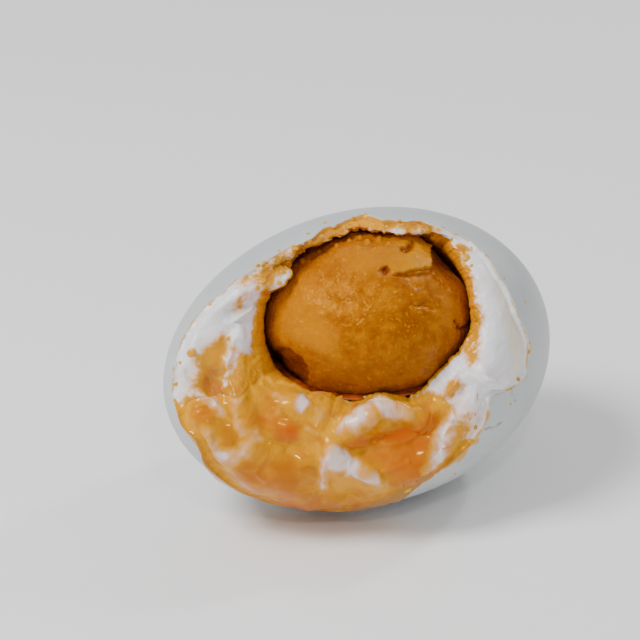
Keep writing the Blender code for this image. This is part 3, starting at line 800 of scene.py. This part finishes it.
def makeShell():
    angles = anglesRound(shell["turns"])
    edge = edgeOut(angles)
    away = rowShares(*shell["outerRows"])
    outer = skinRings(angles, edge, away, 0.0)
    inner = skinRings(angles, edge, rowShares(*shell["innerRows"]), egg["wall"])
    wall = [outer[-1] * (1 - s) + inner[0] * s for s in np.arange(1, shell["wallRows"]) / shell["wallRows"]]
    hidden = len(wall) + len(inner)
    grid = np.array(outer + wall + inner)
    cracks = ridges(warped(grid, 0.8 * mm, 0.25 * mm, 90.0), shell["cracks"]) * (grid[..., 2] > 0)
    cracks[len(outer):] = 0
    grid = grid * (1 - cracks * shell["crackDepth"] / np.linalg.norm(grid, axis=-1))[..., None]
    world = np.concatenate([rested(grid[:len(outer)], 0.0), rested(grid[len(outer):], egg["wall"])])
    degrees = np.degrees(np.concatenate([away, np.zeros(hidden)])[:, None] * (math.pi - edge))
    raw = np.concatenate([np.zeros(len(outer)), np.ones(hidden)])[:, None] * np.ones(len(angles))
    spread = layered(grid, shell["spread"])
    lip = roundTheOpening(shell["film"], angles, 1, 2.0) * np.ones_like(degrees)
    film = smooth(lip + spread * 1.6 - degrees, -0.8, 2.4) * (lip > 0.3)
    seam = smooth(0.7 + spread * 0.9 - degrees, -0.3, 0.6) * (degrees < 4)
    values = {"film": np.clip(film, 0, 1), "seam": seam, "raw": raw, "crack": cracks}
    back = np.array([[0.0, 0.0, -1.0]])
    first, last = rested(eggSurface(back, 0.0), 0.0)[0], rested(eggSurface(back, egg["wall"]), egg["wall"])[0]
    return ringMesh("eggshell", world, first, last, values)


def shellFinish():
    f = Finish("eggshellFinish", Subsurface_Weight=0.06, Subsurface_Scale=0.0006,
               Subsurface_Radius=(1.0, 0.9, 0.8), Specular_IOR_Level=0.4)
    tones = shell["colours"]
    tint = f.ramp(f.grain(9 * mm, 4), tones["shell"])
    tint = f.blend(f.value("raw"), tint, tones["raw"])
    film = f.ramp(f.grain(2.0 * mm, 4), tones["film"])
    tint = f.blend(f.span(f.value("film"), 0.0, 1.0, 0.0, 0.92), tint, film)
    specked = f.span(f.grain(1.2 * mm, 3), 0.54, 0.62)
    tint = f.blend(f.maths("MULTIPLY", f.value("seam"), specked), tint, tones["specks"])
    tint = f.blend(f.span(f.value("crack"), 0.1, 0.8, 0.0, 0.7), tint, tones["crack"])
    f.give("Base Color", tint)
    f.give("Roughness", f.span(f.value("film"), 0, 1, 0.42, 0.2))
    f.bump(f.grain(0.25 * mm, 3), 0.012 * mm, 0.5)
    f.bump(f.grain(3.0 * mm, 2), 0.05 * mm, 0.4)
    return f.material


# spilled yolk
spill = {
    "columns": 440,
    "rows": 108,
    "shellRows": 0.30,  # share of the rows that the shell takes where the yolk runs far over it
    # angle, lower end, upper end: shares of the torn face, or degrees over the shell where under 0
    "ends": [
        (176, 0.40, 0.44), (184, 0.20, 0.60), (192, 0.06, 0.82), (198, -0.4, 0.90), (204, -1.0, 0.96),
        (210, -0.5, 0.97), (216, -3.0, 0.98), (222, -9.0, 0.985), (228, -17.0, 0.985), (236, -13.0, 0.985),
        (244, -10.0, 0.985), (250, -7.5, 0.985), (254, -8.5, 0.985), (258, -7.0, 0.985), (263, -12.0, 0.985),
        (268, -11.0, 0.985), (275, -18.0, 0.985), (283, -20.0, 0.985), (288, -11.0, 0.985), (296, -4.0, 0.98),
        (306, -2.0, 0.97), (316, -0.6, 0.94), (324, 0.05, 0.86), (331, 0.20, 0.66), (337, 0.36, 0.42),
    ],
    "root": 0.6 * mm,  # from the folded face down to its underside
    "lowest": 0.3 * mm,  # above the floor
    "warp": (3.0 * mm, 0.5 * mm, 50.0),  # grain, reach, seed
    # heights in mm: where no film lies, over the shell, over the crests, and under its thin edge
    "under": -0.45,
    "overShell": 0.42,
    "overCrests": 0.16,
    "tuck": 0.12,
    # film over the folded face in mm: u, v, half length, half width, turn, height
    "film": [
        (-10.6, -16.9, 5.4, 3.6, -18, 2.0), (-16.5, -18.0, 4.0, 3.0, -30, 1.0),
        (-8.0, -21.5, 5.0, 2.4, -8, 1.1), (7.4, -13.0, 6.2, 4.4, 18, 1.8), (10.8, -9.0, 3.2, 3.0, 0, 1.0),
        (8.6, -16.6, 4.0, 2.0, 25, 0.6), (5.0, -19.6, 6.0, 2.0, 12, 0.9), (-2.0, -21.6, 6.0, 1.8, 0, 0.9),
        (-21.4, -6.2, 1.8, 1.9, 70, 0.3), (-23.9, -8.4, 2.8, 2.4, 20, 1.3),
        (-19.6, -10.4, 3.2, 3.2, 60, 0.8), (-15.6, -6.4, 3.4, 3.4, 10, 0.7),
        (-13.6, -10.0, 5.0, 2.8, -15, 0.7), (-9.9, -10.0, 3.4, 3.0, 0, 0.6),
        (-5.4, -10.6, 4.4, 2.8, -15, 0.8), (-18.8, -14.0, 3.4, 3.2, -40, 0.9),
        (11.0, -17.2, 3.0, 2.2, 35, 0.8), (-12.0, -5.6, 2.6, 2.2, 0, 0.6), (-1.4, -12.6, 3.4, 1.4, 20, 0.7),
        (-3.6, -7.6, 3.4, 1.8, -30, 0.7), (-7.4, -5.8, 3.0, 1.4, -20, 0.6), (1.0, -9.0, 5.0, 2.6, 25, 0.7),
        (-2.4, -16.0, 4.0, 2.8, -30, 0.7), (12.8, -12.6, 1.8, 3.4, -30, 0.5),
        (5.6, -7.6, 3.0, 1.6, -20, 0.5),
    ],
    # steps and ripples in its surface: rise, reach, sharpness, then places u, v
    "ripples": [
        (0.28, 1.0, 1.4, (-3.0, -12.2), (2.9, -13.1), (6.5, -12.6), (9.4, -10.7), (11.8, -7.6)),
        (-0.3, 0.9, 1.2, (-1.0, -11.2), (2.9, -11.6), (6.2, -10.6), (8.6, -8.6)),
        (0.36, 0.6, 1.1, (-13.4, -12.7), (-11.6, -13.6)),
        (0.36, 0.6, 1.1, (-8.0, -13.2), (-5.6, -14.9)),
        (0.34, 0.5, 1.1, (-3.2, -9.7), (-2.3, -8.8)),
        (-0.2, 1.2, 1.2, (-14.0, -19.6), (-9.0, -20.4), (-3.0, -20.0)),
        (0.3, 0.5, 1.1, (-15.6, -16.2), (-14.0, -17.4)),
        (0.26, 0.5, 1.1, (3.4, -17.0), (7.4, -15.6)),
        (0.3, 0.5, 1.1, (-24.8, -7.2), (-23.2, -7.0)),
        (0.26, 0.45, 1.1, (9.0, -9.6), (10.4, -8.0)),
        (0.6, 0.6, 0.9, (-8.6, -4.7), (-7.2, -5.5), (-5.8, -6.0)),
        (0.55, 0.55, 0.9, (4.0, -6.0), (6.2, -7.1)),
    ],
    # where it is deepest and most orange: patches, then mounds
    "pool": [
        (0.45, 1.4, (-3.4, -11.6), (2.9, -9.7), (7.9, -8.6), (10.4, -6.6), (12.4, -8.4), (12.0, -13.6),
         (9.6, -17.4), (3.6, -17.6), (-0.6, -14.6)),
        (0.8, 1.3, (-2.0, -12.0), (3.4, -10.4), (7.9, -9.4), (9.2, -10.0), (6.4, -12.2), (2.4, -12.9)),
    ],
    "deep": [
        (-10.1, -10.8, 1.8, 1.4, 0, 0.8), (8.6, -13.4, 4.0, 2.2, 25, 0.3), (-14.4, -10.0, 3.0, 1.6, 10, 0.25),
        (-9.8, -21.6, 2.4, 1.0, -10, 0.7), (0.4, -22.4, 1.6, 1.0, 0, 0.7), (-21.8, -4.6, 3.0, 1.6, 60, 0.4),
        (-23.4, -8.4, 2.0, 1.3, 0, 0.35), (-14.6, -17.6, 4.0, 2.0, -30, 0.3),
        (-12.6, -7.6, 1.6, 2.6, 20, 0.35), (10.6, -16.6, 2.6, 1.0, 35, 0.6),
        (-15.4, -8.6, 2.8, 1.6, 0, 0.35), (10.4, -6.8, 1.6, 2.0, 0, 0.3),
    ],
    "colours": {
        "depth": [(0.0, (222, 154, 6)), (0.1, (214, 144, 0)), (0.3, (201, 128, 0)), (0.65, (190, 110, 0)),
                  (1.0, (184, 100, 0))],
        "deep": (204, 84, 0),
        "thin": ((158, 106, 0), (182, 112, 0)),
        "bare": [(0.0, (212, 150, 0)), (0.3, (220, 152, 40)), (0.6, (226, 164, 108)), (0.8, (230, 190, 164)),
                 (1.0, (234, 214, 210))],
    },
}


def filmHeight(places):
    pushed = warped(places, *spill["warp"])
    return spill["under"] + bumps(pushed, spill["film"])


def ground(angles, ends):
    share = np.clip(ends, 0, None)
    onFace = foldedFace(angles, share)
    over = np.radians(np.clip(-ends, 0, None))
    lip = eggSurface(heading(angles, edgeOut(angles) + over), 0.0)
    onWhite = smooth(share, 0.0, 0.10)[:, None]
    return onFace * onWhite + lip * (1 - onWhite)


def makeSpill():
    first, last = spill["ends"][0][0], spill["ends"][-1][0]
    angles = np.radians(np.linspace(first, last, spill["columns"]))
    ring = heading(angles, math.pi / 2)
    low = roundTheOpening(spill["ends"], angles, 1, 2.4)
    low = np.where(low < 0, low * (1 + fine(ring, 0.09, 44.0) * 0.5), low)
    high = roundTheOpening(spill["ends"], angles, 2, 2.4)
    split = spill["shellRows"] * np.clip(-low / 6, 0, 1)
    floors, shares = [], []
    for share in np.linspace(0, 1, spill["rows"]):
        overShell = low * (1 - share / np.maximum(split, 0.01))
        bottom = np.maximum(low, 0)
        onWhite = bottom + (high - bottom) * (share - split) / (1 - split)
        ends = np.where(share < split, overShell, onWhite)
        floors.append(ground(angles, ends))
        shares.append(ends)
    floor, ends = np.array(floors), np.array(shares)
    normals = unit(np.cross(np.gradient(floor, axis=1), np.gradient(floor, axis=0)))
    onShell = 1 - smooth(ends, -0.02, 0.10)
    film = filmHeight(floor) * (1 - onShell) + spill["overShell"] * onShell
    wet = smooth(film, -0.25, 0.25)
    film = film + (ridges(floor, spill["ripples"]) + fine(floor, 4.0 * mm, 41.0) * 0.12) * wet
    # the yolk drapes over the crests and curds that stand higher than it
    relief = curdRelief(floor) * (1 - onShell) * smooth(ends, 0.0, 0.10)
    draped = relief + spill["overCrests"] - 0.4 * (1 - wet)
    film = (film + draped + np.sqrt((film - draped) ** 2 + 0.12)) / 2 * wet + film * (1 - wet)
    rows = np.linspace(0, 1, spill["rows"])[:, None]
    columns = np.linspace(0, 1, len(angles))[None]
    side = np.minimum(np.minimum(rows, 1 - rows) * 16, np.minimum(columns, 1 - columns) * 30)
    taper = np.sqrt(np.clip(side, 0, 1)) * np.ones_like(film)
    depth = film * taper - spill["tuck"] * (1 - taper)
    top = floor + normals * (depth * mm)[..., None]
    under = floor - normals * spill["root"]
    loops = np.concatenate([under, top[::-1]], axis=0).transpose(1, 0, 2)

    def bothSides(value):
        return np.concatenate([value, value[::-1]], axis=0).T[1:-1]

    world = rested(loops[1:-1], spill["lowest"])
    tips = [toWorld(loops[n].mean(axis=0)) for n in (0, -1)]
    pushed = warped(floor, *spill["warp"])
    deep = np.maximum(patches(pushed, spill["pool"]), bumps(pushed, spill["deep"]))
    values = {
        "thick": bothSides(depth - relief),
        "deep": bothSides(np.clip(deep, 0, 1)),
        "over": bothSides(onShell),
        "bare": bothSides(bareWhite(floor) * (1 - onShell)),
    }
    return ringMesh("spilledYolk", world, tips[0], tips[1], values)


def spillFinish():
    f = Finish("spilledYolkFinish", Subsurface_Weight=0.15, Subsurface_Scale=0.0008,
               Subsurface_Radius=(1.0, 0.45, 0.02), Specular_IOR_Level=0.4,
               Specular_Tint=(1.0, 0.65, 0.15, 1.0), Coat_Weight=0.12, Coat_Roughness=0.03)
    tones = spill["colours"]
    swirl = f.span(f.grain(3.0 * mm, 4, 0.55, 1.2), 0.3, 0.7, -0.45, 0.45)
    depth = f.maths("ADD", f.value("thick"), swirl)
    tint = f.ramp(f.span(depth, 0.0, 2.4), tones["depth"])
    tint = f.blend(f.span(f.value("deep"), 0.0, 1.0), tint, tones["deep"])
    thin = f.blend(f.span(f.grain(1.8 * mm, 3), 0.35, 0.65), *tones["thin"])
    tint = f.blend(f.span(f.value("over"), 0.4, 1.0, 0.0, 0.85), tint, thin)
    tint = f.blend(f.span(f.value("bare"), 0.0, 0.5), tint, f.ramp(f.value("bare"), tones["bare"]))
    f.give("Base Color", tint)
    f.give("Roughness", f.span(f.grain(2.5 * mm, 2), 0.3, 0.7, 0.08, 0.17))
    f.bump(f.grain(2.2 * mm, 3), 0.06 * mm, 0.3)
    return f.material


# oil round the yolk's foot
oil = {
    "level": 0.2 * mm,  # above the egg's middle
    "turns": 240,
    "rows": 9,
    # how far it reaches into the yolk and into the wall
    "inside": 0.7 * mm,
    "outside": 0.3 * mm,
    # how far it climbs at both, bulges between them and hangs below
    "climb": 0.16 * mm,
    "bulge": 0.22 * mm,
    "below": 0.35 * mm,
    "colours": [(0.35, (110, 30, 0)), (0.65, (190, 84, 0))],
}


def makeOil():
    angles = anglesRound(oil["turns"])
    middle = toWorld(yolkMiddle)
    z = eggMiddle[2] + oil["level"] - middle[2]
    flat = np.sqrt(1 - (z / yolkHalfSizes[2]) ** 2)
    ring = np.stack([np.cos(angles), np.sin(angles)], -1)
    reach = flat / np.linalg.norm(ring / yolkHalfSizes[:2], axis=1)
    rows = []
    for turn in anglesRound(oil["rows"]):
        across, up = math.cos(turn), math.sin(turn)
        radius = reach + sideGap + across * (sideGap + oil["outside" if across > 0 else "inside"])
        rise = oil["climb"] * across**4 + oil["bulge"] * max(0.0, up) - oil["below"] * max(0.0, -up)
        rows.append(np.column_stack([ring * radius[:, None], np.full(len(angles), z + rise)]) + middle)
    rows = np.array(rows)
    count, turns = rows.shape[:2]
    faces = []
    for k in range(count):
        here, above = k * turns, (k + 1) % count * turns
        for i in range(turns):
            j = (i + 1) % turns
            faces.append([here + i, above + i, above + j, here + j])
    return meshPiece("yolkOil", rows.reshape(-1, 3), faces)


def oilFinish():
    f = Finish("yolkOilFinish", Subsurface_Weight=0.1, Subsurface_Scale=0.0008,
               Subsurface_Radius=(1.0, 0.3, 0.02), Coat_Weight=1.0, Coat_Roughness=0.03, Roughness=0.1)
    f.give("Base Color", f.ramp(f.grain(2.5 * mm, 3), oil["colours"]))
    f.bump(f.grain(1.4 * mm, 2), 0.05 * mm, 0.4)
    return f.material


# specks of yolk on the white and the shell
specks = {
    "rings": 5,
    "turns": 18,
    "dome": 0.34,  # height, as a share of the radius
    "sunk": 0.04,  # mm that a speck's edge lies in the surface
    "root": 0.1,  # mm down to its lowest point
    # u, v, radius in mm
    "spots": [
        (-25.2, 1.1, 0.72), (-19.7, 3.2, 0.45), (-22.5, 8.4, 0.32), (-5.0, 20.9, 0.42), (25.7, 8.9, 0.28),
        (23.4, -6.8, 0.3), (-28.0, -1.4, 0.4), (-27.7, -3.6, 0.38), (-27.0, -0.4, 0.3), (17.8, -8.3, 0.32),
        (17.9, -10.3, 0.42), (17.4, 17.0, 0.34), (-15.2, 14.2, 0.4), (-15.6, 12.8, 0.35), (17.2, -12.4, 0.5),
        (16.4, -14.3, 0.4), (22.4, 12.4, 0.25), (26.4, 2.6, 0.28), (26.4, 1.2, 0.35), (24.6, -3.0, 0.4),
        (13.1, 20.2, 0.3), (-7.6, 19.2, 0.4), (20.8, -13.6, 0.25), (15.0, -17.6, 0.35), (7.6, -20.0, 0.7),
        (-14.5, 12.0, 0.55), (-15.2, 10.9, 0.4), (-12.0, 11.7, 0.45), (-11.4, 13.2, 0.5), (-9.5, 17.0, 0.5),
        (-7.3, 17.9, 0.45), (-11.5, 15.4, 0.45), (-5.6, 18.9, 0.4), (-14.3, 14.4, 0.35), (-12.0, 16.6, 0.3),
        (-0.6, 21.4, 0.5), (1.1, 21.8, 0.6), (16.6, 15.6, 0.6), (17.4, 14.4, 0.3), (17.8, 6.2, 0.45),
        (18.4, 7.4, 0.3), (17.2, 4.4, 0.4), (14.4, 18.4, 0.3), (6.4, 21.3, 0.35),
    ],
    "colours": [(0.3, (212, 146, 0)), (0.7, (218, 164, 0))],
}


def surfaceOf(piece):
    piece.data.calc_loop_triangles()
    corners = [v.co for v in piece.data.vertices]
    return BVHTree.FromPolygons(corners, [t.vertices[:] for t in piece.data.loop_triangles])


def makeSpecks(carriers):
    points, faces = [], []
    trees = [surfaceOf(carrier) for carrier in carriers]
    sight = Vector(-axes[:, 2])
    rings, turns = specks["rings"], specks["turns"]
    for number, (u, v, radius) in enumerate(specks["spots"]):
        start = Vector(toWorld(np.array([u, v, 60.0]) * mm))
        hits = [tree.ray_cast(start, sight) for tree in trees]
        hit = min((h for h in hits if h[0] is not None), key=lambda h: h[3], default=None)
        if hit is None:
            continue
        spot, normal = np.array(hit[0]), np.array(hit[1])
        side = unit(np.cross(normal, [0.3, 0.2, 1.0]))
        other = np.cross(normal, side)
        dome = specks["dome"] * radius
        base = len(points)
        for k in range(rings):
            tilt = math.pi / 2 * k / rings
            for i in range(turns):
                a = circle * i / turns
                wobble = 1 + 0.10 * math.sin(2 * a + number) + 0.05 * math.sin(5 * a + 2 * number)
                across = (side * math.cos(a) + other * math.sin(a)) * math.cos(tilt) * radius * wobble
                points.append(spot + (across + normal * (math.sin(tilt) * dome - specks["sunk"])) * mm)
        points.append(spot + normal * (dome - specks["sunk"]) * mm)
        points.append(spot - normal * specks["root"] * mm)
        top, bottom = base + rings * turns, base + rings * turns + 1
        for i in range(turns):
            j = (i + 1) % turns
            for here in range(base, base + (rings - 1) * turns, turns):
                faces.append([here + i, here + j, here + turns + j, here + turns + i])
            faces.append([top - turns + i, top - turns + j, top])
            faces.append([base + j, base + i, bottom])
    return meshPiece("yolkSpecks", points, faces)


def speckFinish():
    f = Finish("yolkSpeckFinish", Subsurface_Weight=0.1, Subsurface_Scale=0.0006, Roughness=0.28)
    f.give("Base Color", f.ramp(f.grain(1.5 * mm, 2), specks["colours"]))
    f.bump(f.grain(0.3 * mm, 2), 0.03 * mm, 0.5)
    return f.material


# studio
studio = {
    "distance": 0.6,
    "lens": 217.7,
    "sensor": 36.0,
    "aim": (-37.3, 39.0),  # photo pixels right and up from the egg's middle
    "pixelsPerMm": 6.45,
    "sky": 0.54,
    # place in the face frame (right, up, towards the camera), size, watts
    "lights": [
        ((-0.30, 0.34, 0.33), 0.2, 3.1),
        ((0.30, 0.38, -0.05), 0.05, 0.5),
        ((0.05, 0.17, 0.50), 0.03, 0.3),
    ],
    "floor": 4.0,  # half its width
    "floorColours": ((246, 246, 246), (249, 249, 249)),
}


def makeStudio():
    aim = toWorld(np.array([*studio["aim"], 0.0]) / studio["pixelsPerMm"] * mm)
    camera = bpy.data.objects.new("camera", bpy.data.cameras.new("camera"))
    bpy.context.collection.objects.link(camera)
    camera.location = Vector(aim + axes[:, 2] * studio["distance"])
    camera.rotation_euler = Vector(axes[:, 2]).to_track_quat("Z", "Y").to_euler()
    camera.data.lens = studio["lens"]
    camera.data.sensor_width = studio["sensor"]
    camera.data.clip_start = 0.01
    bpy.context.scene.camera = camera
    for number, (place, size, watts) in enumerate(studio["lights"]):
        lamp = bpy.data.lights.new("softbox%d" % number, "AREA")
        lamp.size = size
        lamp.energy = watts
        box = bpy.data.objects.new(lamp.name, lamp)
        bpy.context.collection.objects.link(box)
        box.location = Vector(toWorld(np.array(place)))
        box.rotation_euler = (box.location - Vector(eggMiddle)).to_track_quat("Z", "Y").to_euler()
    world = bpy.data.worlds.new("studio")
    world.use_nodes = True
    world.node_tree.nodes["Background"].inputs["Color"].default_value = (1.0, 1.0, 1.0, 1.0)
    world.node_tree.nodes["Background"].inputs["Strength"].default_value = studio["sky"]
    bpy.context.scene.world = world
    half = studio["floor"]
    corners = [(-half, -half, 0), (half, -half, 0), (half, half, 0), (-half, half, 0)]
    floor = meshPiece("floor", corners, [(0, 1, 2, 3)])
    f = Finish("floorFinish", Roughness=0.8, Specular_IOR_Level=0.2)
    f.give("Base Color", f.blend(f.grain(0.5, 2), *studio["floorColours"]))
    floor.data.materials.append(f.material)
    print("studio ready")


whitePiece = makeWhite()
dress(whitePiece, whiteFinish(), "white", "white")
yolkPiece = makeYolk()
dress(yolkPiece, yolkFinish(), "yolk", "yolk")
shellPiece = makeShell()
dress(shellPiece, shellFinish(), "shell", "shell")
spillPiece = makeSpill()
dress(spillPiece, spillFinish(), "spilled_yolk", "spilled_yolk")
dress(makeOil(), oilFinish(), "spilled_yolk")
dress(makeSpecks([whitePiece, shellPiece, spillPiece]), speckFinish(), "spilled_yolk")
makeStudio()

bpy.context.view_layer.update()
